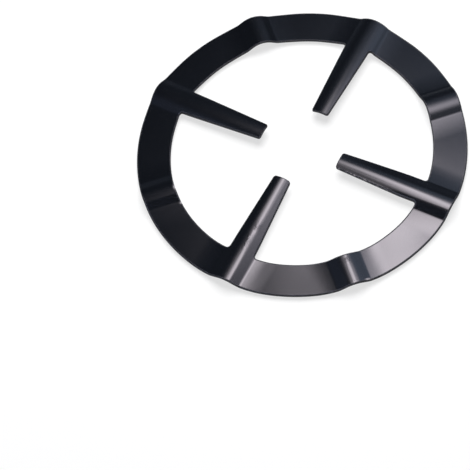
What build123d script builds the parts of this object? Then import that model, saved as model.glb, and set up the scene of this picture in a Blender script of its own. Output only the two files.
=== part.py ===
"""Gas hob reducer ring: one piece of steel sheet, punched, folded into ridges and enamelled.

Frame: millimetres, +Z up. The origin is on the ring's axis, in the plane that the flat
underside of the sectors rests on. +X runs out along one of the four prongs.
"""

import os
from math import cos, radians, tan

from build123d import *

# Plan
prong_count = 4
outer_radius = 70.0  # axis to rim, at the middle of a sector
band_width = 14.4  # rim to the band's inner edge
sector_draw = 3.5  # how far past the axis the folding pulls the centre of a sector's arcs
prong_tip_radius = 18.0  # axis to the end of a prong
prong_root_width = 11.5
prong_tip_width = 7.5
tip_corner_radius = 1.0
root_corner_radius = 1.2

# Section of the sheet across a ridge
sheet_thickness = 1.2
ridge_width = 14.0  # between the fold lines at the ridge's roots
flank_angle = 30.12  # degrees that the straight flanks rise from level
crest_radius = 10.0  # outside of the crest fold
root_radius = 3.0  # hollow side of the root folds
shoulder_width = 9.5  # root fold to where the sector lies flat
shoulder_height = 0.9  # root folds above the flat sector
edge_break = 0.25  # taken off the edges of the cut sheet

# A ridge lies on each prong and midway between two prongs
ridge_count = 2 * prong_count
sector_angle = 360 / ridge_count
inner_radius = outer_radius - band_width
root_y = ridge_width / 2
flat_y = root_y + shoulder_width
root_z = sheet_thickness + shoulder_height

# The two flanks would meet at the apex, and the crest fold rounds it off
apex_z = root_z + root_y * tan(radians(flank_angle))
crest_z = apex_z - crest_radius * (1 / cos(radians(flank_angle)) - 1)

# The folded strip reaches past the rim and is cut back to the outline
strip_reach = 1.2 * outer_radius
strip_half_width = strip_reach * tan(radians(sector_angle / 2))
cut_height = 2 * crest_z

# One eighth of the folded sheet: a ridge along +X with half a sector on each side
with BuildPart() as folded_eighth:
    with BuildSketch(Plane.YZ) as section:
        with BuildLine() as upper_face:
            sector = Line((strip_half_width, sheet_thickness), (flat_y, sheet_thickness))
            shoulder = TangentArc(sector @ 1, (root_y, root_z), tangent=sector % 1)
            Line(shoulder @ 1, (0, apex_z))
            mirror(about=Plane.YZ)
            apex = upper_face.vertices().group_by(Axis.Y)[-1]
            fillet(apex, crest_radius)
            root_folds = upper_face.vertices().group_by(Axis.Y)[1]
            fillet(root_folds, root_radius)
            offset(amount=sheet_thickness, side=Side.LEFT)
        make_face()
    extrude(amount=strip_reach)
    with BuildSketch() as eighth:
        Polygon((0, 0), (strip_reach, -strip_half_width), (strip_reach, strip_half_width), align=None)
    extrude(amount=cut_height, both=True, mode=Mode.INTERSECT)


def drawn_disc(radius):
    """Disc with one arc for each sector, whose centre the folding has drawn past the axis."""
    with BuildSketch(mode=Mode.PRIVATE) as disc:
        for number in range(ridge_count):
            with PolarLocations(-sector_draw, 1, start_angle=(number + 0.5) * sector_angle):
                Circle(radius + sector_draw, mode=Mode.INTERSECT if number else Mode.ADD)
    return disc.sketch


# Outline of the blank: the band, and the prongs that run in from the middle of its width
with BuildSketch() as outline:
    add(drawn_disc(outer_radius))
    add(drawn_disc(inner_radius), mode=Mode.SUBTRACT)
    with PolarLocations(0, prong_count):
        Polygon(
            (prong_tip_radius, -prong_tip_width / 2),
            (inner_radius, -prong_root_width / 2),
            (outer_radius - band_width / 2, 0),
            (inner_radius, prong_root_width / 2),
            (prong_tip_radius, prong_tip_width / 2),
            align=None,
        )
    root_corners = outline.vertices().group_by(SortBy.DISTANCE)[1]
    fillet(root_corners, root_corner_radius)
    tip_corners = outline.vertices().group_by(SortBy.DISTANCE)[0]
    fillet(tip_corners, tip_corner_radius)

# The ring: the folded sheet, cut to the outline, with every cut edge broken
with BuildPart() as reducer_ring:
    with PolarLocations(0, ridge_count):
        add(folded_eighth.part)
    add(outline.sketch)
    extrude(amount=cut_height, both=True, mode=Mode.INTERSECT)
    cut_walls = reducer_ring.faces().filter_by(lambda face: abs(face.normal_at().Z) < 0.001)
    cut_edges = cut_walls.edges().filter_by(Axis.Z, reverse=True)
    chamfer(cut_edges, edge_break)

reducer_ring.part.label = "reducer_ring"
os.makedirs("parts", exist_ok=True)
export_step(reducer_ring.part, "parts/reducer_ring.step")
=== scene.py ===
"""Gas hob reducer ring in a plain studio: the folded sheet, its enamel, and the light on it.

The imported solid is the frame. One piece stands for it, with the same sizes, and adds what the
solid leaves out: the rounding that enamel gives to cut edges, the play that folding leaves in
the ridges, and the finish. Sizes are millimetres until a mesh is made.
"""

import logging
from dataclasses import dataclass
from enum import Enum
from math import atan2, cos, degrees, pi, radians, sin, sqrt

import bpy
import numpy as np
from bpy.types import ID, Material, Mesh, Node, NodeSocket, NodeTree, Object, World
from mathutils import Matrix


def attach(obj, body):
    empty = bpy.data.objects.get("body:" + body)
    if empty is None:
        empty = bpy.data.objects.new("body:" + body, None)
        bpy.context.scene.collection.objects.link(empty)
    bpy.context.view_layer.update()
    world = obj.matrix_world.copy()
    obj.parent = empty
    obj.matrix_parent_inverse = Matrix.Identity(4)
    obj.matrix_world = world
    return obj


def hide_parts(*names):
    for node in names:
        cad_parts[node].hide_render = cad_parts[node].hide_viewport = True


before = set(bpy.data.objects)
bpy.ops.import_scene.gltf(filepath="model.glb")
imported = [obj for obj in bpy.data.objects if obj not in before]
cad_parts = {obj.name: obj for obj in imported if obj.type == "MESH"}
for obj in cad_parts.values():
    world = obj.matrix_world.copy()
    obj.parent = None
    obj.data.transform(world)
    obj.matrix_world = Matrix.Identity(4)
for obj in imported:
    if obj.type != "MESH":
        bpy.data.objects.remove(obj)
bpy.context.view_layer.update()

log = logging.getLogger("reducer_ring")
MM = 0.001
PICTURE_SIDE = 470
RIDGE_COUNT = 8
RIDGE_STEP = 2 * pi / RIDGE_COUNT
TOLERANCE = 1e-9
THIN_EDGE = "thin_edge"

# Socket numbers of a Mix node, whose sockets share their names
FACTOR, NUMBER_A, NUMBER_B, COLOUR_A, COLOUR_B = 0, 2, 3, 6, 7
MIXED_NUMBER, MIXED_COLOUR = 0, 2


def linear_colour(hex_colour: str) -> tuple[float, float, float, float]:
    """Turns an sRGB hex colour into linear red, green, blue and full alpha.

    Args:
        hex_colour: six hex digits after a hash sign.

    Returns:
        Four numbers from 0 to 1.
    """
    channels = np.array([int(hex_colour[i : i + 2], 16) / 255 for i in (1, 3, 5)])
    linear = np.where(channels <= 0.04045, channels / 12.92, ((channels + 0.055) / 1.055) ** 2.4)
    return (*linear.tolist(), 1.0)


def empty_tree(owner: Material | World) -> NodeTree:
    """Turns on the nodes of a material or a world, and clears them."""
    owner.use_nodes = True
    owner.node_tree.nodes.clear()
    return owner.node_tree


def add_node(tree: NodeTree, kind: str, links: dict | None = None, **settings) -> Node:
    """Adds one node, with its settings, input values and incoming links.

    Args:
        tree: the node tree that it goes into.
        kind: Blender's identifier of the node, after the word ShaderNode, such as Math.
        links: a value or an output socket for each input, by the input's name or number.
        settings: attributes of the node itself, such as operation.

    Returns:
        The new node.
    """
    node = tree.nodes.new("ShaderNode" + kind)
    for name, value in settings.items():
        setattr(node, name, value)
    for key, value in (links or {}).items():
        if isinstance(value, NodeSocket):
            tree.links.new(value, node.inputs[key])
        else:
            node.inputs[key].default_value = value
    return node


def local_place(tree: NodeTree, middle_mm: tuple[float, ...], spread_mm: tuple[float, float],
                turn: float) -> NodeSocket:
    """Adds coordinates that start at a middle and count in spreads.

    Args:
        tree: the node tree that they go into.
        middle_mm: where they start, in the object's own coordinates.
        spread_mm: the length of one unit each way.
        turn: their turn about +Z, in radians.

    Returns:
        The output that carries them.
    """
    local = {
        "Vector": add_node(tree, "TexCoord").outputs["Object"],
        "Location": [side * MM for side in middle_mm],
        "Rotation": (0.0, 0.0, turn),
        "Scale": (spread_mm[0] * MM, spread_mm[1] * MM, 1.0),
    }
    return add_node(tree, "Mapping", local, vector_type="TEXTURE").outputs[0]


def bell_curve(tree: NodeTree, place: NodeSocket, steepness: float) -> NodeSocket:
    """Adds e to the power of minus the steepness times the square of a place's length."""
    square = add_node(tree, "VectorMath", {0: place, 1: place}, operation="DOT_PRODUCT")
    power = {0: square.outputs["Value"], 1: -steepness}
    power = add_node(tree, "Math", power, operation="MULTIPLY").outputs[0]
    return add_node(tree, "Math", {0: power}, operation="EXPONENT").outputs[0]


def add_object(data: ID) -> Object:
    """Makes an object of some data, under the same name, and links it into the scene."""
    made = bpy.data.objects.new(data.name, data)
    bpy.context.scene.collection.objects.link(made)
    return made


class RidgeKind(Enum):
    """What a radial ridge carries at its inner end."""

    PRONG = "a prong, along which the ridge runs on inwards"
    PLAIN = "nothing, so the ridge ends at the band's inner edge"


@dataclass(frozen=True)
class SheetSection:
    """The sheet's upper face across a ridge: crest fold, flank, root fold, shoulder and flat."""

    thickness: float = 1.2
    ridge_width: float = 14.0
    ridge_height: float = 2.5
    shoulder_width: float = 9.5
    shoulder_height: float = 0.9
    root_fold_rise: float = 0.2

    @property
    def root_y(self) -> float:
        """Distance of the root folds from the ridge line."""
        return self.ridge_width / 2

    @property
    def flat_y(self) -> float:
        """Distance from the ridge line at which the sector lies flat."""
        return self.root_y + self.shoulder_width

    @property
    def root_z(self) -> float:
        """Height of the root folds."""
        return self.thickness + self.shoulder_height

    def height(self, across: np.ndarray, crest_radius: np.ndarray) -> np.ndarray:
        """Works out the upper face's height.

        Near the ridge line it is the crest fold's arc, then the flank's straight line, which
        leaves the root fold and touches that arc. The shoulder is an arc that touches the flat
        sector, and a polynomial smooth maximum of the flank and the shoulder makes the root
        fold.

        Args:
            across: distances from the ridge line, as an array.
            crest_radius: the crest fold's radius at each of them.

        Returns:
            The heights above the floor, as an array of the same shape.
        """
        y = np.abs(across)
        arc_centre = self.root_z + self.ridge_height - crest_radius
        drop = arc_centre - self.root_z
        slope = np.arctan2(drop, self.root_y) + np.arcsin(crest_radius / np.hypot(self.root_y, drop))
        arc = arc_centre + np.sqrt(np.maximum(crest_radius**2 - y**2, 0))
        flank = self.root_z + (self.root_y - y) * np.tan(slope)
        radius = (self.shoulder_width**2 + self.shoulder_height**2) / (2 * self.shoulder_height)
        short_of_flat = np.clip(self.flat_y - y, 0, radius)
        shoulder = self.thickness + radius - np.sqrt(radius**2 - short_of_flat**2)
        nearness = np.maximum(self.root_fold_rise - np.abs(flank - shoulder), 0)
        folded = np.maximum(flank, shoulder) + nearness**2 / (4 * self.root_fold_rise)
        return np.where(y <= crest_radius * np.sin(slope), arc, folded)


@dataclass(frozen=True)
class RidgePlay:
    """How far the folding has left one ridge from its nominal bearing and section.

    The shift is how far the fold missed the middle of its prong, and the skew is its turn from
    the prong's own line. A prong's reach is its extra length, its swell the extra share of its
    width, and its flatness the share of its section's depth that is gone at the tip.
    """

    turned_deg: float = 0.0
    rise_share: float = 1.0
    shift_mm: float = 0.0
    skew_deg: float = 0.0
    crest_radius: float = 10.0
    reach_mm: float = 0.0
    swell_share: float = 0.0
    flatness: float = 0.0


@dataclass(frozen=True)
class RingPlay:
    """The play of all the ridges, in order round from +X. The even ones carry the prongs."""

    ridges: tuple[RidgePlay, ...] = (
        RidgePlay(turned_deg=0.15, shift_mm=-1.2, skew_deg=-0.65, crest_radius=10.6,
                  swell_share=0.015, flatness=0.1),
        RidgePlay(turned_deg=-0.58, rise_share=0.95, shift_mm=-0.3, crest_radius=9.6),
        RidgePlay(turned_deg=-0.65, rise_share=0.95, shift_mm=0.1, skew_deg=-0.1, crest_radius=9.5,
                  reach_mm=0.5, swell_share=0.015, flatness=0.1),
        RidgePlay(turned_deg=0.06, rise_share=0.92, shift_mm=-0.35, skew_deg=-0.55, crest_radius=9.0),
        RidgePlay(turned_deg=0.16, rise_share=0.97, shift_mm=-0.6, skew_deg=-0.3, crest_radius=7.4,
                  reach_mm=0.8, swell_share=0.02, flatness=0.05),
        RidgePlay(turned_deg=-0.09, rise_share=0.88, shift_mm=-0.25, skew_deg=0.15, crest_radius=8.2),
        RidgePlay(turned_deg=1.09, rise_share=1.02, shift_mm=-1.05, skew_deg=-1.3, crest_radius=8.8,
                  reach_mm=0.1, swell_share=0.065, flatness=0.4),
        RidgePlay(turned_deg=-0.02, rise_share=0.93, shift_mm=-0.1, skew_deg=-0.45),
    )
    skew_centre: float = 45.0
    stiff_deg: float = 13.0
    swell_run: float = 0.2

    def of(self, ridge: np.ndarray, size: str) -> np.ndarray:
        """Looks up one named size of the play of each point's ridge."""
        return np.array([getattr(play, size) for play in self.ridges])[ridge]

    def folded(self, ridge: np.ndarray, along: np.ndarray, across: np.ndarray) -> tuple[np.ndarray, ...]:
        """Finds where points lie on their own ridge's fold.

        The fold's line runs off the ridge line by the shift, and by the skew's tangent times
        the distance from the skew's centre.

        Args:
            ridge: the number of each point's ridge.
            along: distances from the ring's axis along the ridge line.
            across: distances from the ridge line.

        Returns:
            The distances from the fold's line, its crest radius and its share of the height.
        """
        skew = np.tan(np.radians(self.of(ridge, "skew_deg")))
        off = self.of(ridge, "shift_mm") + skew * (along - self.skew_centre)
        return across - off, self.of(ridge, "crest_radius"), self.of(ridge, "rise_share")

    def shaped(self, ridge: np.ndarray, along: np.ndarray, across: np.ndarray, inner: float,
               tip: float) -> tuple[np.ndarray, np.ndarray, np.ndarray]:
        """Gives each prong its own length, width and flatness.

        A point moves towards the axis by the prong's reach times its share of the prong's
        length, and away from the ridge line by the swell's share of its distance. The swell
        is whole after its run of the length, and the prong gets flatter evenly to its tip.

        Args:
            ridge: the number of each point's ridge.
            along: distances from the ring's axis along the ridge line.
            across: distances from the ridge line.
            inner: radius of the band's inner edge, where a prong starts.
            tip: the radius that it ends at.

        Returns:
            The new distances along and across, and the share of its section's depth that is left.
        """
        share = np.clip((inner - np.hypot(along, across)) / (inner - tip), 0, 1)
        swell = self.of(ridge, "swell_share") * np.minimum(share / self.swell_run, 1)
        depth = 1 - self.of(ridge, "flatness") * share
        return along - self.of(ridge, "reach_mm") * share, across * (1 + swell), depth

    def turned(self, plan: np.ndarray) -> np.ndarray:
        """Turns each ridge with its prong about the axis, and lets the flats share the rest.

        Up to the stiff angle from a ridge line the turn is the ridge's own. From there it goes
        to the next ridge's by a smooth step.

        Args:
            plan: points in plan, one a row.

        Returns:
            The turned points.
        """
        step = degrees(RIDGE_STEP)
        bearing = np.degrees(np.arctan2(plan[:, 1], plan[:, 0])) % 360
        ridge = np.floor(bearing / step).astype(int) % RIDGE_COUNT
        share = np.clip((bearing % step - self.stiff_deg) / (step - 2 * self.stiff_deg), 0, 1)
        share = share**2 * (3 - 2 * share)
        turns = self.of(ridge, "turned_deg"), self.of((ridge + 1) % RIDGE_COUNT, "turned_deg")
        angle = np.radians(turns[0] * (1 - share) + turns[1] * share)
        x, y = plan.T
        return np.column_stack([x * np.cos(angle) - y * np.sin(angle), x * np.sin(angle) + y * np.cos(angle)])


@dataclass(frozen=True)
class RingOutline:
    """The punched outline in plan, drawn for one ridge along +X, and the grids that fill it.

    The grids stop short of the true outline by the rounding of the cut edge. The support gap is
    that of the lines that run just inside an edge, to keep its rounding from spreading.
    """

    outer_radius: float = 70.0
    band_width: float = 14.4
    sector_draw: float = 3.5
    prong_tip_radius: float = 18.0
    prong_root_width: float = 11.5
    prong_tip_width: float = 7.5
    tip_corner_radius: float = 1.0
    root_corner_radius: float = 1.2
    edge_rounding: float = 0.3

    # How finely the grids run
    support_gap: float = 0.1
    parallel_width: float = 2.0
    row_spacing: float = 0.7
    fold_offsets: tuple[float, ...] = (-0.7, -0.5, -0.3, -0.15, 0.0)
    parallel_columns: int = 6
    flank_columns: int = 12
    shoulder_columns: int = 28
    sector_columns: int = 18
    tip_rows: int = 6
    corner_rows: int = 7

    @property
    def inner_radius(self) -> float:
        """Radius of the band's inner edge at the middle of a sector."""
        return self.outer_radius - self.band_width

    @property
    def arc_centre(self) -> np.ndarray:
        """Centre of the arcs of the sector that starts at +X, drawn past the axis by folding."""
        return -self.sector_draw * np.array([cos(RIDGE_STEP / 2), sin(RIDGE_STEP / 2)])

    @property
    def side_line(self) -> tuple[np.ndarray, np.ndarray]:
        """A point of the prong's side line, and the line's direction towards the rim."""
        start = np.array([self.prong_tip_radius, self.prong_tip_width / 2])
        run = np.array([self.inner_radius, self.prong_root_width / 2]) - start
        return start, run / np.linalg.norm(run)

    @property
    def root_corner(self) -> np.ndarray:
        """Centre of the root corner's arc, as far from the side line as from the inner edge."""
        start, along = self.side_line
        away = np.array([-along[1], along[0]])
        base = start + self.root_corner_radius * away - self.arc_centre
        reach = self.inner_radius + self.sector_draw - self.root_corner_radius
        run = sqrt((base @ along) ** 2 - base @ base + reach**2) - base @ along
        return self.arc_centre + base + along * run

    @property
    def corner_angles(self) -> tuple[float, float]:
        """Angles at the root corner's centre of its ends: on the side line and on the inner edge."""
        _, along = self.side_line
        outwards = self.root_corner - self.arc_centre
        return atan2(-along[0], along[1]), atan2(outwards[1], outwards[0])

    def corner_point(self, share: float) -> np.ndarray:
        """A point of the root corner's arc, from 0 on the side line to 1 on the inner edge."""
        first, last = self.corner_angles
        angle = first + share * (last - first)
        radius = self.root_corner_radius + self.edge_rounding
        return self.root_corner + radius * np.array([cos(angle), sin(angle)])

    def columns(self, section: SheetSection) -> tuple[np.ndarray, int, int]:
        """Chooses the band's columns, as distances from the ridge line.

        Args:
            section: the sheet's section, whose folds the columns follow.

        Returns:
            The distances, the number of the last one on a prong, and that of the last one
            that runs parallel to the ridge line along the whole prong.
        """
        parallel = np.linspace(0, self.parallel_width, self.parallel_columns)
        prong_side = self.corner_point(0.5)[1]
        flank = np.linspace(self.parallel_width, prong_side - self.support_gap, self.flank_columns)[1:]
        fold = section.root_y + np.array(self.fold_offsets)
        corner_end = self.corner_point(1.0)[1]
        shoulder = np.linspace(corner_end, section.flat_y, self.shoulder_columns)
        distances = np.concatenate([parallel, flank, [prong_side], fold, shoulder])
        return distances, len(parallel) + len(flank), len(parallel) - 1

    def rows(self) -> np.ndarray:
        """Shares of the band's width at which its rows run, close together at both edges."""
        width = self.band_width - 2 * self.edge_rounding
        inner = np.array([0.0, self.support_gap, 4 * self.support_gap])
        count = round(width / self.row_spacing)
        middle = np.linspace(inner[-1], width - inner[-1], count)[1:-1]
        return np.concatenate([inner, middle, width - inner[::-1]]) / width

    def start_x(self, across: np.ndarray, kind: RidgeKind) -> np.ndarray:
        """Finds where each column starts at the band's inner edge.

        It starts on the inner arc, or beside a prong on the root corner's arc. The columns of
        a prong start at the middle of that corner, where the prong's own grid ends.

        Args:
            across: the columns' distances from the ridge line.
            kind: whether the ridge carries a prong.

        Returns:
            The distances along the ridge line, one for each column.
        """
        centre = self.arc_centre
        inner = self.inner_radius + self.sector_draw + self.edge_rounding
        edge = centre[0] + np.sqrt(inner**2 - (across - centre[1]) ** 2)
        if kind is RidgeKind.PLAIN:
            return edge
        middle, end = self.corner_point(0.5), self.corner_point(1.0)
        radius = self.root_corner_radius + self.edge_rounding
        arc = self.root_corner[0] + np.sqrt(np.maximum(radius**2 - (across - self.root_corner[1]) ** 2, 0))
        beside = np.where(across < end[1] - TOLERANCE, arc, edge)
        return np.where(across <= middle[1] + TOLERANCE, middle[0], beside)

    def band_grid(self, section: SheetSection, kind: RidgeKind) -> np.ndarray:
        """Lays the grid from the ridge line to the middle of the sector beside it.

        A point is given by its distance from the arcs' centre and by its column. The columns
        of the ridge and its shoulder run parallel to the ridge line. On the flat their angle at
        the arcs' centre goes in equal steps to the middle of the sector.

        Args:
            section: the sheet's section, whose folds the columns follow.
            kind: whether the ridge carries a prong.

        Returns:
            Plan points, as an array of rows by columns by two.
        """
        centre = self.arc_centre
        across = self.columns(section)[0]
        start = np.hypot(self.start_x(across, kind) - centre[0], across - centre[1])
        rim = self.outer_radius + self.sector_draw - self.edge_rounding
        share = self.rows()[:, None]
        reach = start + share * (rim - start)
        x = centre[0] + np.sqrt(reach**2 - (across - centre[1]) ** 2)
        ridge = np.stack([x, np.broadcast_to(across, x.shape)], -1)
        last = ridge[:, -1] - centre
        angle = np.arctan2(last[:, 1], last[:, 0])[:, None]
        steps = np.linspace(0, 1, self.sector_columns)[1:]
        turned = angle + steps * (RIDGE_STEP / 2 - angle)
        flat = centre + reach[:, -1][:, None, None] * np.stack([np.cos(turned), np.sin(turned)], -1)
        return np.concatenate([ridge, flat], 1)

    def half_width(self, along: np.ndarray) -> np.ndarray:
        """Works out half the prong's width, short of the cut edge's rounding.

        It is the straight side, cut by the tip corner's arc and widened by the root corner's.

        Args:
            along: distances from the ring's axis.

        Returns:
            Half the width at each distance.
        """
        start, direction = self.side_line
        slope = direction[1] / direction[0]
        side = start[1] + slope * (along - start[0]) - self.edge_rounding / direction[0]
        tip = self.tip_corner_radius - self.edge_rounding
        into = np.clip(tip - (along - self.prong_tip_radius - self.edge_rounding), 0, tip)
        tipped = side - tip + np.sqrt(tip**2 - into**2)
        radius = self.root_corner_radius + self.edge_rounding
        off = along - self.root_corner[0]
        arc = self.root_corner[1] - np.sqrt(np.maximum(radius**2 - off**2, 0))
        return np.where(off < self.corner_point(0.0)[0] - self.root_corner[0], tipped, arc)

    def prong_grid(self, section: SheetSection) -> np.ndarray:
        """Lays the grid of half a prong, from its tip to the middle of its root corner.

        The middle columns run parallel to the ridge line. The others share out what is left
        of the prong's tapering width.

        Args:
            section: the sheet's section, whose columns these carry on.

        Returns:
            Plan points, as an array of rows by columns by two.
        """
        across, side, parallel = self.columns(section)
        tip = self.prong_tip_radius + self.edge_rounding
        corner = self.tip_corner_radius - self.edge_rounding
        root_start, root_end = self.corner_point(0.0)[0], self.corner_point(0.5)[0]
        turn = np.linspace(0, pi / 2, self.tip_rows)
        tip_rows = tip + corner * (1 - np.cos(turn))
        count = round((root_start - tip_rows[-1]) / self.row_spacing)
        rows = np.concatenate([tip_rows, np.linspace(tip_rows[-1], root_start, count)[1:]])
        rows = np.concatenate([rows, np.linspace(root_start, root_end, self.corner_rows)[1:]])
        width = self.half_width(rows)[:, None]
        fixed = np.broadcast_to(across[: parallel + 1], (len(rows), parallel + 1))
        inner = width - self.support_gap
        share = (across[parallel + 1 : side] - across[parallel]) / (across[side - 1] - across[parallel])
        flank = across[parallel] + share * (inner - across[parallel])
        y = np.concatenate([fixed, flank, width], 1)
        x = np.broadcast_to(rows[:, None], y.shape)
        return np.stack([x, y], -1)


@dataclass(frozen=True)
class Shell:
    """A mesh before it goes into Blender: points and the corners of its four-sided faces."""

    points: np.ndarray
    faces: np.ndarray


def grid_faces(rows: int, columns: int) -> np.ndarray:
    """Corner numbers of a grid's faces, each running from row to row and then across."""
    number = np.arange(rows * columns).reshape(rows, columns)
    corners = [number[:-1, :-1], number[1:, :-1], number[1:, 1:], number[:-1, 1:]]
    return np.stack(corners, -1).reshape(-1, 4)


def joined(parts: list[Shell], cell: float = 0.001, offset: float = 0.000317) -> Shell:
    """Joins flat grids and makes one point of those that lie on each other.

    Points are one when they fall in the same small cell. The offset keeps the borders of the
    cells away from points at round sizes.

    Args:
        parts: grids in plan.
        cell: side of a cell.
        offset: how far the cells are moved.

    Returns:
        One grid, with every shared point kept once.
    """
    counts = np.cumsum([0] + [len(part.points) for part in parts[:-1]])
    points = np.concatenate([part.points for part in parts])
    faces = np.concatenate([part.faces + start for part, start in zip(parts, counts)])
    cells = np.round((points + offset) / cell).astype(int)
    _, first, number = np.unique(cells, axis=0, return_index=True, return_inverse=True)
    return Shell(points[first], number.reshape(-1)[faces])


def point_normals(shell: Shell) -> np.ndarray:
    """Unit normals at a shell's points: the sum of the cross products of the faces' diagonals."""
    corners = shell.points[shell.faces]
    across = np.cross(corners[:, 2] - corners[:, 0], corners[:, 3] - corners[:, 1])
    total = np.zeros_like(shell.points)
    for corner in range(4):
        np.add.at(total, shell.faces[:, corner], across)
    return total / np.linalg.norm(total, axis=1, keepdims=True)


def border(shell: Shell) -> np.ndarray:
    """Finds the border of a shell.

    Args:
        shell: an open shell.

    Returns:
        The border's edges as pairs of point numbers, with the shell on their left.
    """
    edges = np.stack([shell.faces, np.roll(shell.faces, -1, 1)], -1).reshape(-1, 2)
    _, number, count = np.unique(np.sort(edges, 1), axis=0, return_inverse=True, return_counts=True)
    return edges[count[number.reshape(-1)] == 1]


@dataclass
class FoldedRing:
    """The ring of enamelled sheet, with its eight ridges and four prongs."""

    section: SheetSection
    outline: RingOutline
    play: RingPlay
    edge_steps: int = 4
    thin_rounds: int = 2

    def upper_face(self) -> Shell:
        """Lays out the sheet's upper face.

        Half a ridge with half a sector is turned and mirrored to all its places, and each point
        is then raised to the height of the section. On a prong the section is shrunk towards its
        crest by the depth that the prong has left there, with its crest radius.

        Returns:
            The face as an open shell.
        """
        grids = {kind: [self.outline.band_grid(self.section, kind)] for kind in RidgeKind}
        grids[RidgeKind.PRONG].append(self.outline.prong_grid(self.section))
        parts = []
        for number in range(RIDGE_COUNT):
            angle = number * RIDGE_STEP
            turn = np.array([[cos(angle), sin(angle)], [-sin(angle), cos(angle)]])
            kind = RidgeKind.PLAIN if number % 2 else RidgeKind.PRONG
            for grid in grids[kind]:
                faces = grid_faces(*grid.shape[:2])
                plan = grid.reshape(-1, 2)
                parts.append(Shell(plan @ turn, faces))
                parts.append(Shell(plan * [1, -1] @ turn, faces[:, ::-1]))
        flat = joined(parts)
        x, y = flat.points.T
        number = np.round(np.arctan2(y, x) / RIDGE_STEP).astype(int)
        cosine, sine = np.cos(number * RIDGE_STEP), np.sin(number * RIDGE_STEP)
        ridge = number % RIDGE_COUNT
        along, across, depth = self.play.shaped(
            ridge, x * cosine + y * sine, y * cosine - x * sine,
            self.outline.inner_radius, self.outline.prong_tip_radius,
        )
        plan = np.column_stack([along * cosine - across * sine, along * sine + across * cosine])
        from_fold, radius, share = self.play.folded(ridge, along, across)
        crest_z = self.section.root_z + self.section.ridge_height
        height = crest_z - depth * (crest_z - self.section.height(from_fold, depth * radius))
        rise = (height - self.section.thickness) * share
        return Shell(np.column_stack([self.play.turned(plan), self.section.thickness + rise]), flat.faces)

    def closed_sheet(self, upper: Shell) -> Shell:
        """Gives the upper face its thickness and its rounded cut edges.

        The underside lies straight below the upper face, lower by the sheet's thickness over
        the cosine of its slope. The edge is a profile carried along the border, upright as the
        punch leaves it: a quarter circle outwards and down, a straight wall, and a quarter
        circle back under, all sheared to the slope of the sheet.

        Args:
            upper: the upper face.

        Returns:
            The sheet as a closed shell: the points of the upper face, of the underside and of
            the edge, in this order.
        """
        normal = point_normals(upper)
        edges = border(upper)

        # At each point of the border, the way out of the sheet along its slope
        run = upper.points[edges[:, 1]] - upper.points[edges[:, 0]]
        outwards = np.zeros_like(upper.points)
        sideways = np.column_stack([run[:, 1], -run[:, 0], np.zeros(len(run))])
        np.add.at(outwards, edges.ravel(), np.repeat(sideways, 2, 0))
        rim = np.unique(edges)
        out = outwards[rim] / np.linalg.norm(outwards[rim], axis=1, keepdims=True)
        out[:, 2] = -np.sum(out[:, :2] * normal[rim, :2], 1) / normal[rim, 2]

        # The profile of the edge, carried along the border
        rounding, thickness = self.outline.edge_rounding, self.section.thickness
        upright = np.column_stack([np.zeros((len(normal), 2)), 1 / normal[:, 2]])
        turn = np.linspace(0, pi / 2, self.edge_steps + 1)
        side = rounding * np.concatenate([np.sin(turn), np.cos(turn)])
        down = np.concatenate([rounding * (1 - np.cos(turn)), thickness - rounding * (1 - np.sin(turn))])
        side, down = side[1:-1], down[1:-1]
        strip = upper.points[rim] + side[:, None, None] * out - down[:, None, None] * upright[rim]

        # Its faces, from the upper face's border down to the underside's
        count = len(upper.points)
        number = np.full(count, -1)
        number[rim] = np.arange(len(rim))
        levels = 2 * count + np.arange(len(side))[:, None] * len(rim) + np.arange(len(rim))
        levels = np.vstack([rim, levels, rim + count])
        first, second = number[edges].T
        walls = [levels[:-1, second], levels[:-1, first], levels[1:, first], levels[1:, second]]
        walls = np.stack(walls, -1).reshape(-1, 4)
        points = np.concatenate([upper.points, upper.points - thickness * upright, strip.reshape(-1, 3)])
        return Shell(points, np.concatenate([upper.faces, upper.faces[:, ::-1] + count, walls]))

    def thin_edge(self, upper: Shell, shell: Shell) -> np.ndarray:
        """Finds where the enamel has drawn thin: round the cut edge and just inside it.

        The cut edge's points come after those of the two faces. In each round the points that
        share a face with one of them are added.

        Args:
            upper: the upper face.
            shell: the closed sheet.

        Returns:
            One at each such point and nought at the others.
        """
        thin = np.arange(len(shell.points)) >= 2 * len(upper.points)
        for _ in range(self.thin_rounds):
            touched = thin[shell.faces].any(1)
            thin[shell.faces[touched]] = True
        return thin

    def build(self, name: str) -> Object:
        """Makes the ring's object.

        Args:
            name: the piece's name.

        Returns:
            The object, which sits at the origin.
        """
        upper = self.upper_face()
        shell = self.closed_sheet(upper)
        mesh = bpy.data.meshes.new(name)
        mesh.from_pydata((shell.points * MM).tolist(), [], shell.faces.tolist())
        mesh.shade_smooth()
        thin = mesh.attributes.new(THIN_EDGE, "FLOAT", "POINT")
        thin.data.foreach_set("value", self.thin_edge(upper, shell).astype(np.float32))
        return add_object(mesh)


class MarkKind(Enum):
    """What a mark does to the enamel: use dents it, or a glint is painted on it."""

    SCUFF = "small dents, which break up what the gloss mirrors"
    # Painted glints: these two kinds lay pale colour, as a spot or as dashes along a line, where a cut edge
    # would mirror the light
    GLINT_SPOT = "a chip down to the paler ground coat"
    GLINT_DASHES = "an edge rubbed pale in dashes"


@dataclass(frozen=True)
class Mark:
    """One mark in the enamel: its middle in plan, its size, and its turn from +X."""

    kind: MarkKind
    middle_mm: tuple[float, float]
    half_size_mm: tuple[float, float]
    turned_deg: float = 0.0


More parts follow.
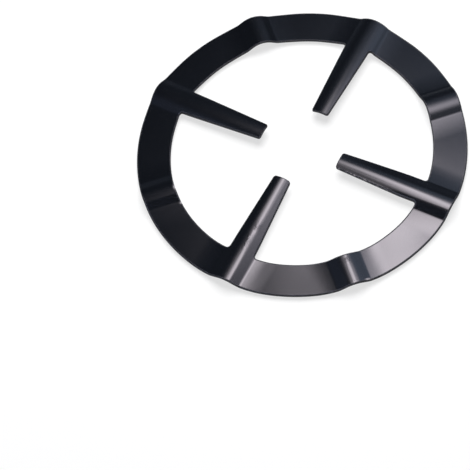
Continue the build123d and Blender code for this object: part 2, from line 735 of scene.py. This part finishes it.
@dataclass(frozen=True)
class GlossEnamel:
    """Vitreous enamel, fired glass on steel: blue-black, with a hard clear gloss.

    Glass flows level in the kiln, so the eye sees sharp dark reflections that only wander a
    little over a long, low orange peel. Its colour clouds faintly where the coat is thinner. It
    draws back from the punched edge and fires matt there, which leaves a thin dark line round
    the bright flats. Wiping leaves a trace of haze. Pinholes and scuffs on the crests break the
    gloss. Pale painted glints lie at a few edges: colour that stands in for the light those
    edges would mirror.
    """

    body: str = "#07090D"
    thin_body: str = "#0A0C10"
    # Painted glint: the pale colour laid on where a cut edge would mirror the light
    glint_colour: str = "#9C979B"
    ior: float = 1.5
    roughness: float = 0.1
    edge_roughness: float = 0.65
    haze: float = 0.06
    haze_roughness: float = 0.4
    cloud_spacing_mm: float = 25.0
    peel_spacing_mm: float = 3.0
    peel_depth_mm: float = 0.008
    dent_spacing_mm: float = 0.8
    dent_depth_mm: float = 0.14
    dash_spacing_mm: float = 1.2
    dash_from: float = 0.45
    dash_whole: float = 0.6
    pinhole_spacing_mm: float = 5.0
    pinhole_width_mm: float = 0.3
    marks: tuple[Mark, ...] = (
        Mark(MarkKind.SCUFF, (-42.2, -1.2), (2.2, 0.9)),
        Mark(MarkKind.SCUFF, (-50.5, -0.6), (5.0, 0.8), 2.0),
        Mark(MarkKind.SCUFF, (-41.3, -41.9), (1.8, 1.0), 45.0),
        Mark(MarkKind.SCUFF, (-4.2, -30.0), (0.5, 14.0)),
        # Painted glints: pale spots at the inner edge by the ridge at 135 degrees and at the rim by the ridge
        # at 225 degrees, and a dashed pale line along one edge of the prong at 270 degrees, where those edges
        # would mirror the light
        Mark(MarkKind.GLINT_SPOT, (-39.9, 39.4), (0.9, 0.45), 45.0),
        Mark(MarkKind.GLINT_SPOT, (-44.2, 34.0), (0.45, 0.7), 45.0),
        Mark(MarkKind.GLINT_SPOT, (-45.0, -52.9), (1.0, 0.35), -40.0),
        Mark(MarkKind.GLINT_SPOT, (-48.8, -49.2), (0.7, 0.35), -45.0),
        Mark(MarkKind.GLINT_DASHES, (-4.1, -32.0), (0.25, 12.0), -2.8),
    )

    def spots(self, tree: NodeTree, kind: MarkKind) -> NodeSocket:
        """Adds the bell curves of the marks of one kind, of which the highest counts.

        Args:
            tree: the enamel's node tree.
            kind: the kind of mark.

        Returns:
            The output that is one in the middle of a mark and falls to nought outside.
        """
        highest = None
        for mark in (mark for mark in self.marks if mark.kind is kind):
            off = local_place(tree, (*mark.middle_mm, 0.0), mark.half_size_mm, radians(mark.turned_deg))
            spot = bell_curve(tree, off, 1.0)
            if highest is not None:
                spot = add_node(tree, "Math", {0: spot, 1: highest}, operation="MAXIMUM").outputs[0]
            highest = spot
        return highest

    def painted_glint_spots(self, tree: NodeTree, place: NodeSocket) -> NodeSocket:
        """Adds the painted glints: pale spots, and pale lines broken into dashes, laid where a cut edge would
        mirror the light.

        Args:
            tree: the enamel's node tree.
            place: the output with the Object coordinates.

        Returns:
            The output that is one where a glint is painted and nought elsewhere.
        """
        dashes = {"Vector": place, "Scale": 1 / (self.dash_spacing_mm * MM)}
        dashes = add_node(tree, "TexNoise", dashes).outputs["Fac"]
        dashes = {"Value": dashes, "From Min": self.dash_from, "From Max": self.dash_whole}
        dashes = add_node(tree, "MapRange", dashes, interpolation_type="SMOOTHSTEP").outputs[0]
        glint_dashes = {0: self.spots(tree, MarkKind.GLINT_DASHES), 1: dashes}
        glint_dashes = add_node(tree, "Math", glint_dashes, operation="MULTIPLY").outputs[0]
        glint_share = {0: self.spots(tree, MarkKind.GLINT_SPOT), 1: glint_dashes}
        return add_node(tree, "Math", glint_share, operation="MAXIMUM").outputs[0]

    def relief(self, tree: NodeTree, place: NodeSocket) -> NodeSocket:
        """Adds the relief of orange peel, scuffs and pinholes.

        Args:
            tree: the enamel's node tree.
            place: the output with the Object coordinates.

        Returns:
            The output that carries the bent normal.
        """
        peel = {"Vector": place, "Scale": 1 / (self.peel_spacing_mm * MM), "Detail": 1.0}
        peel = add_node(tree, "TexNoise", peel).outputs["Fac"]
        dents = {"Vector": place, "Scale": 1 / (self.dent_spacing_mm * MM), "Detail": 2.0}
        dents = add_node(tree, "TexNoise", dents).outputs["Fac"]
        scuffs = self.spots(tree, MarkKind.SCUFF)
        dents = add_node(tree, "Math", {0: dents, 1: scuffs}, operation="MULTIPLY").outputs[0]
        cells = {"Vector": place, "Scale": 1 / (self.pinhole_spacing_mm * MM)}
        cells = add_node(tree, "TexVoronoi", cells).outputs["Distance"]
        width = self.pinhole_width_mm / self.pinhole_spacing_mm
        holes = {"Value": cells, "From Min": 0.0, "From Max": width, "To Min": -1.0, "To Max": 0.0}
        holes = add_node(tree, "MapRange", holes, interpolation_type="SMOOTHSTEP").outputs[0]
        layers = ((peel, self.peel_depth_mm), (dents, self.dent_depth_mm), (holes, self.peel_depth_mm))
        normal = None
        for height, depth in layers:
            bump = {"Strength": 1.0, "Distance": depth * MM, "Height": height}
            if normal is not None:
                bump["Normal"] = normal
            normal = add_node(tree, "Bump", bump).outputs["Normal"]
        return normal

    def material(self) -> Material:
        """Makes the finish's material."""
        made = bpy.data.materials.new("vitreous_enamel_gloss")
        tree = empty_tree(made)
        place = add_node(tree, "TexCoord").outputs["Object"]
        cloud = {"Vector": place, "Scale": 1 / (self.cloud_spacing_mm * MM), "Detail": 3.0}
        cloud = add_node(tree, "TexNoise", cloud).outputs["Fac"]
        colour = {FACTOR: cloud, COLOUR_A: linear_colour(self.body), COLOUR_B: linear_colour(self.thin_body)}
        colour = add_node(tree, "Mix", colour, data_type="RGBA").outputs[MIXED_COLOUR]
        # Painted glints: pale colour mixed in where a cut edge would mirror the light; the same spots also
        # take the matt roughness of the edge
        glint_share = self.painted_glint_spots(tree, place)
        colour = {FACTOR: glint_share, COLOUR_A: colour, COLOUR_B: linear_colour(self.glint_colour)}
        colour = add_node(tree, "Mix", colour, data_type="RGBA").outputs[MIXED_COLOUR]
        thin = add_node(tree, "Attribute", attribute_name=THIN_EDGE).outputs["Fac"]
        dull = add_node(tree, "Math", {0: thin, 1: glint_share}, operation="MAXIMUM").outputs[0]
        rough = {FACTOR: dull, NUMBER_A: self.roughness, NUMBER_B: self.edge_roughness}
        rough = add_node(tree, "Mix", rough).outputs[MIXED_NUMBER]
        shader = add_node(
            tree, "BsdfPrincipled",
            {"Base Color": colour, "Roughness": rough, "IOR": self.ior, "Coat Weight": self.haze,
             "Coat Roughness": self.haze_roughness, "Normal": self.relief(tree, place)},
        )
        add_node(tree, "OutputMaterial", {"Surface": shader.outputs[0]})
        return made


@dataclass(frozen=True)
class StudioCamera:
    """The camera, turned so that the ring falls where the photograph has it, with no shift."""

    elevation_deg: float = 58.16
    bearing_deg: float = 56.88
    roll_deg: float = -7.79
    focal_px: float = 2128.1
    distance_mm: float = 900.93
    axis_pixel: tuple[float, float] = (301.12, 149.20)
    sensor_mm: float = 36.0
    nearest_m: float = 0.01
    farthest_m: float = 30.0

    def build(self, aim_height_mm: float) -> Object:
        """Makes the camera.

        The ring is turned about its axis, tipped to the camera's elevation and rolled. The
        whole view is then turned until the ring's axis falls on its pixel.

        Args:
            aim_height_mm: height on the ring's axis of the point that falls on the pixel.

        Returns:
            The camera's object.
        """
        up, az, roll = radians(self.elevation_deg), radians(self.bearing_deg), radians(self.roll_deg)
        turned = np.array([[cos(az), -sin(az), 0], [sin(az), cos(az), 0], [0, 0, 1]])
        tipped = np.array([[1, 0, 0], [0, -sin(up), -cos(up)], [0, cos(up), -sin(up)]])
        rolled = np.array([[cos(roll), -sin(roll), 0], [sin(roll), cos(roll), 0], [0, 0, 1]])

        # The least turn that takes straight ahead to the aim
        off = (np.array(self.axis_pixel) - PICTURE_SIDE / 2) / self.focal_px
        aim = np.array([*off, 1.0]) / sqrt(1 + off @ off)
        cross = np.array([[0, 0, aim[0]], [0, 0, aim[1]], [-aim[0], -aim[1], 0]])
        swung = np.eye(3) + cross + cross @ cross / (1 + aim[2])
        view = swung @ rolled @ tipped @ turned
        place = -view.T @ (aim * self.distance_mm) + [0, 0, aim_height_mm]
        pose = np.eye(4)
        pose[:3, :3] = (np.diag([1, -1, -1]) @ view).T
        pose[:3, 3] = place * MM
        data = bpy.data.cameras.new("studio_camera")
        data.sensor_width = self.sensor_mm
        data.lens = self.sensor_mm * self.focal_px / PICTURE_SIDE
        data.clip_start = self.nearest_m
        data.clip_end = self.farthest_m
        camera = add_object(data)
        camera.matrix_world = Matrix(pose.tolist())
        bpy.context.scene.camera = camera
        return camera


def level_square(name: str, half_side_mm: float, height_mm: float, faces_up: bool) -> Mesh:
    """Makes a level square about the ring's axis.

    Args:
        name: the mesh's name.
        half_side_mm: half its side.
        height_mm: its height above the ring's underside.
        faces_up: whether it faces up or down.

    Returns:
        The mesh.
    """
    share = np.linspace(-1, 1, 3) * half_side_mm * MM
    x, y = np.meshgrid(share, share)
    points = np.column_stack([x.ravel(), y.ravel(), np.full(x.size, height_mm * MM)])
    faces = grid_faces(*x.shape)
    mesh = bpy.data.meshes.new(name)
    mesh.from_pydata(points.tolist(), [], (faces[:, ::-1] if faces_up else faces).tolist())
    return mesh


@dataclass(frozen=True)
class StudioPaper:
    """White seamless paper, seen from above only, so that the underside can be looked at."""

    reflects: float = 0.3
    glow: float = 0.69
    half_side_mm: float = 9000.0
    gap_mm: float = 1.1

    def build(self) -> Object:
        """Makes the floor, whose glow only the camera and mirrored rays see."""
        mesh = level_square("studio_paper", self.half_side_mm, -self.gap_mm, faces_up=True)
        made = bpy.data.materials.new("matt_white_paper")
        tree = empty_tree(made)
        rays = add_node(tree, "LightPath").outputs
        seen = rays["Is Camera Ray"]
        for mirrored in (rays["Is Glossy Ray"], rays["Is Transmission Ray"]):
            seen = add_node(tree, "Math", {0: seen, 1: mirrored}, operation="MAXIMUM").outputs[0]
        glow = add_node(tree, "Math", {0: seen, 1: self.glow}, operation="MULTIPLY")
        light = add_node(tree, "Emission", {"Strength": glow.outputs[0]})
        matt = add_node(tree, "BsdfDiffuse", {"Color": (self.reflects,) * 3 + (1.0,)})
        both = add_node(tree, "AddShader", {0: light.outputs[0], 1: matt.outputs[0]})
        clear = add_node(tree, "BsdfTransparent")
        back = add_node(tree, "NewGeometry").outputs["Backfacing"]
        sided = add_node(tree, "MixShader", {0: back, 1: both.outputs[0], 2: clear.outputs[0]})
        add_node(tree, "OutputMaterial", {"Surface": sided.outputs[0]})
        mesh.materials.append(made)
        floor = add_object(mesh)
        return floor


@dataclass(frozen=True)
class LightStrip:
    """A long lamp behind cloth: its four edges, and how softly the light fades across each."""

    turned_deg: float = 3.49
    right_mm: tuple[float, float] = (14.37, 60.10)
    right_fade_mm: tuple[float, float] = (17.0, 7.4)
    away_mm: tuple[float, float] = (-41.86, 87.49)
    away_fade_mm: tuple[float, float] = (1.8, 16.8)
    colour: str = "#FFF6FE"
    radiance: float = 14.74


@dataclass(frozen=True)
class Glow:
    """Light that spills on the wall beside the lamp, or, where its radiance is negative, a shade.

    Its middle is placed from the ring's axis, to the camera's right and away from the camera.
    """

    right_mm: float
    away_mm: float
    spread_mm: tuple[float, float]
    colour: str
    radiance: float


@dataclass(frozen=True)
class LightCard:
    """What the enamel mirrors from above: a strip lamp, and the wall that it lights beside it."""

    height_mm: float = 179.0
    half_side_mm: float = 700.0
    view_bearing_deg: float = 33.12
    strip: LightStrip = LightStrip()
    glows: tuple[Glow, ...] = (
        Glow(90.2, 24.0, (27.0, 40.4), "#FDF4FF", 4.9),
        Glow(193.9, 83.8, (104.5, 104.5), "#C6D5F3", 1.6),
        Glow(-230.0, 0.0, (90.0, 80.0), "#C5D5FF", 0.35),
        Glow(0.7, -8.9, (16.8, 38.4), "#FDF4FF", 1.2),
        Glow(47.4, 54.4, (11.2, 3.9), "#FFF6FE", 2.7),
        Glow(-121.7, -168.7, (22.8, 56.8), "#D5DEFF", 20.0),
        Glow(0.6, 26.7, (7.7, 12.0), "#FFF6FE", -2.9),
    )

    @property
    def view_turn(self) -> float:
        """Turn about +Z, in radians, from +X to the camera's right."""
        return radians(self.view_bearing_deg) - pi / 2

    def strip_light(self, tree: NodeTree) -> NodeSocket:
        """Adds the strip lamp's light, which fades across each edge as the logistic curve does.

        The radiance is divided at each edge by one plus e to the distance out, in fades.

        Args:
            tree: the card's node tree.

        Returns:
            The output that carries the light's radiance.
        """
        strip = self.strip
        turn = self.view_turn + radians(strip.turned_deg)
        place = local_place(tree, (0.0, 0.0, self.height_mm), (1.0, 1.0), turn)
        sides = add_node(tree, "SeparateXYZ", {0: place}).outputs
        light = strip.radiance
        for side, edges, fades in (
            (sides[0], strip.right_mm, strip.right_fade_mm),
            (sides[1], strip.away_mm, strip.away_fade_mm),
        ):
            for edge, fade in ((edges[0], -fades[0]), (edges[1], fades[1])):
                past = {0: side, 1: 1 / fade, 2: -edge / fade}
                past = add_node(tree, "Math", past, operation="MULTIPLY_ADD").outputs[0]
                power = add_node(tree, "Math", {0: past}, operation="EXPONENT").outputs[0]
                whole = add_node(tree, "Math", {0: power, 1: 1.0}, operation="ADD").outputs[0]
                light = add_node(tree, "Math", {0: light, 1: whole}, operation="DIVIDE").outputs[0]
        return light

    def glow_light(self, tree: NodeTree, glow: Glow) -> NodeSocket:
        """Adds one glow's radiance, which falls from its middle as the bell curve does."""
        right, away, turn = glow.right_mm, glow.away_mm, self.view_turn
        x, y = right * cos(turn) - away * sin(turn), right * sin(turn) + away * cos(turn)
        off = local_place(tree, (x, y, self.height_mm), glow.spread_mm, turn)
        light = {0: bell_curve(tree, off, 0.5), 1: glow.radiance}
        return add_node(tree, "Math", light, operation="MULTIPLY").outputs[0]

    def build(self) -> Object:
        """Makes the card, which faces down and only shows in the enamel's gloss."""
        mesh = level_square("light_card", self.half_side_mm, self.height_mm, faces_up=False)
        made = bpy.data.materials.new("lit_cloth_and_wall")
        tree = empty_tree(made)
        lights = [(self.strip_light(tree), self.strip.colour)]
        lights += [(self.glow_light(tree, glow), glow.colour) for glow in self.glows]
        total = (0.0, 0.0, 0.0)
        for radiance, colour in lights:
            more = {0: linear_colour(colour)[:3], 1: radiance, 2: total}
            total = add_node(tree, "VectorMath", more, operation="MULTIPLY_ADD").outputs[0]
        light = add_node(tree, "Emission", {"Color": total, "Strength": 1.0})
        clear = add_node(tree, "BsdfTransparent")
        both = add_node(tree, "AddShader", {0: light.outputs[0], 1: clear.outputs[0]})
        add_node(tree, "OutputMaterial", {"Surface": both.outputs[0]})
        mesh.materials.append(made)
        card = add_object(mesh)
        card.visible_camera = False
        card.visible_diffuse = False
        card.visible_transmission = False
        card.visible_shadow = False
        return card


@dataclass(frozen=True)
class CeilingLamp:
    """The broad lamp that lights the paper and lays the soft shadow."""

    side_m: float = 0.9
    height_m: float = 1.0
    away_m: float = 0.5
    bearing_deg: float = 22.5
    power_w: float = 19.5

    def build(self) -> Object:
        """Makes the lamp, facing the ring."""
        away = radians(self.bearing_deg)
        place = np.array([cos(away) * self.away_m, sin(away) * self.away_m, self.height_m])
        data = bpy.data.lights.new("ceiling_lamp", "AREA")
        data.shape = "SQUARE"
        data.size = self.side_m
        data.energy = self.power_w
        back = place / np.linalg.norm(place)
        side = np.cross([0, 1, 0], back)
        side = side / np.linalg.norm(side)
        pose = np.eye(4)
        pose[:3, :3] = np.column_stack([side, np.cross(back, side), back])
        pose[:3, 3] = place
        lamp = add_object(data)
        lamp.matrix_world = Matrix(pose.tolist())
        lamp.visible_camera = False
        lamp.visible_glossy = False
        return lamp


@dataclass(frozen=True)
class StudioAir:
    """What stands round the ring: a dim bluish room, dark straight above, behind a white backdrop."""

    horizon: str = "#5A6170"
    overhead: str = "#000000"
    backdrop: str = "#FFFFFF"

    def build(self) -> World:
        """Makes the world, whose light falls from the horizon to the zenith."""
        world = bpy.data.worlds.new("studio_air")
        tree = empty_tree(world)
        ray = add_node(tree, "TexCoord").outputs["Generated"]
        height = add_node(tree, "SeparateXYZ", {0: ray}).outputs[2]
        share = add_node(tree, "Clamp", {"Value": height}).outputs[0]
        air = {FACTOR: share, COLOUR_A: linear_colour(self.horizon), COLOUR_B: linear_colour(self.overhead)}
        air = add_node(tree, "Mix", air, data_type="RGBA").outputs[MIXED_COLOUR]
        seen = add_node(tree, "LightPath").outputs["Is Camera Ray"]
        pale = {FACTOR: seen, COLOUR_A: air, COLOUR_B: linear_colour(self.backdrop)}
        pale = add_node(tree, "Mix", pale, data_type="RGBA").outputs[MIXED_COLOUR]
        back = add_node(tree, "Background", {"Color": pale, "Strength": 1.0})
        add_node(tree, "OutputWorld", {"Surface": back.outputs[0]})
        bpy.context.scene.world = world
        return world


def main() -> None:
    """Builds the camera, the ring and the studio in order, and reports each piece."""
    logging.basicConfig(level=logging.INFO, format="%(name)s: %(message)s")
    bpy.context.scene.view_settings.view_transform = "Standard"
    section = SheetSection()
    StudioCamera().build(section.thickness)
    ring = FoldedRing(section, RingOutline(), RingPlay()).build("enamelled_ring")
    ring.data.materials.append(GlossEnamel().material())
    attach(ring, "root")
    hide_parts("reducer_ring")
    log.info("%s has %d faces", ring.name, len(ring.data.polygons))
    for thing in (StudioPaper(), LightCard(), CeilingLamp(), StudioAir()):
        log.info("built %s", thing.build().name)


if __name__ == "__main__":
    main()
